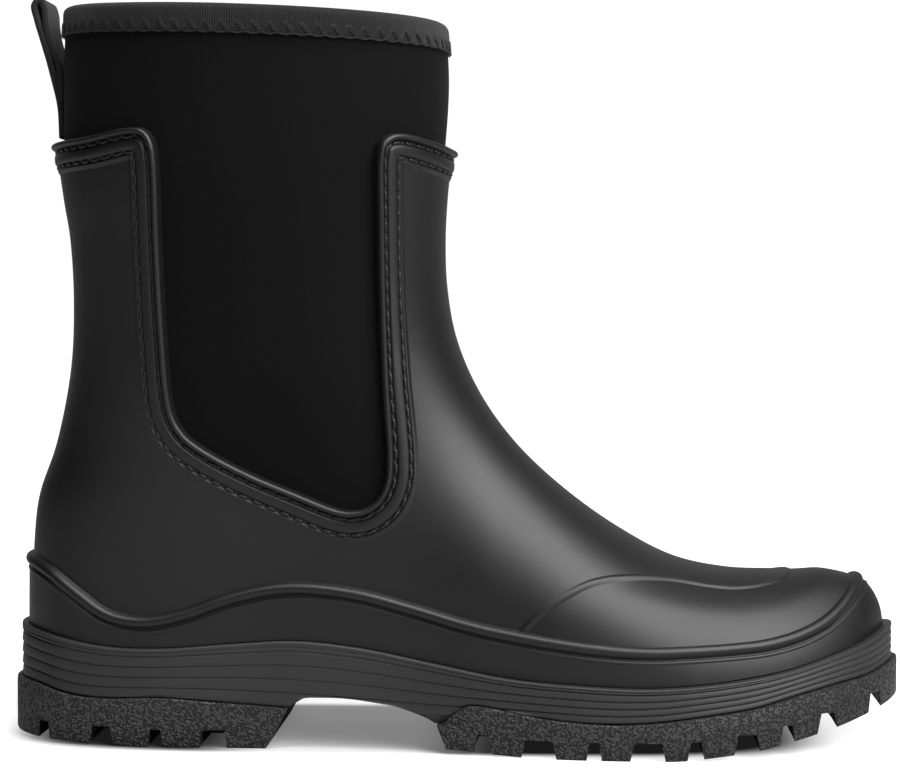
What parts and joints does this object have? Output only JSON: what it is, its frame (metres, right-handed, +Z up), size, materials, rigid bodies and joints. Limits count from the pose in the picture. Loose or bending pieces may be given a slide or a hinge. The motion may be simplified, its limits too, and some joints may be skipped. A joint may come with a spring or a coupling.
{
  "type": "rubber boot",
  "caption": "Ankle-high rubber boot with a moulded shell, soft inner shaft in large side cut-outs, ribbed collar binding, rear pull loop and lugged sole.",
  "frame": {"origin": "on the ground under the middle of the boot", "axes": "+X to the toe, +Y to the inner side of the foot, +Z up the shaft"},
  "size_m": [0.305, 0.1102, 0.253],
  "materials": {
    "rubber": "satin moulded",
    "neoprene": "matte, smooth",
    "binding": "ribbed, stitched",
    "webbing": "woven",
    "sole": "matte, textured lugs",
    "insole": "matte"
  },
  "bodies": {
    "root": {"upper": "rubber", "shaft": "neoprene", "collar_binding": "binding", "pull_loop": "webbing", "midsole": "sole", "outsole_heel": "sole", "outsole_forefoot": "sole", "insole": "insole"}
  },
  "joints": []
}
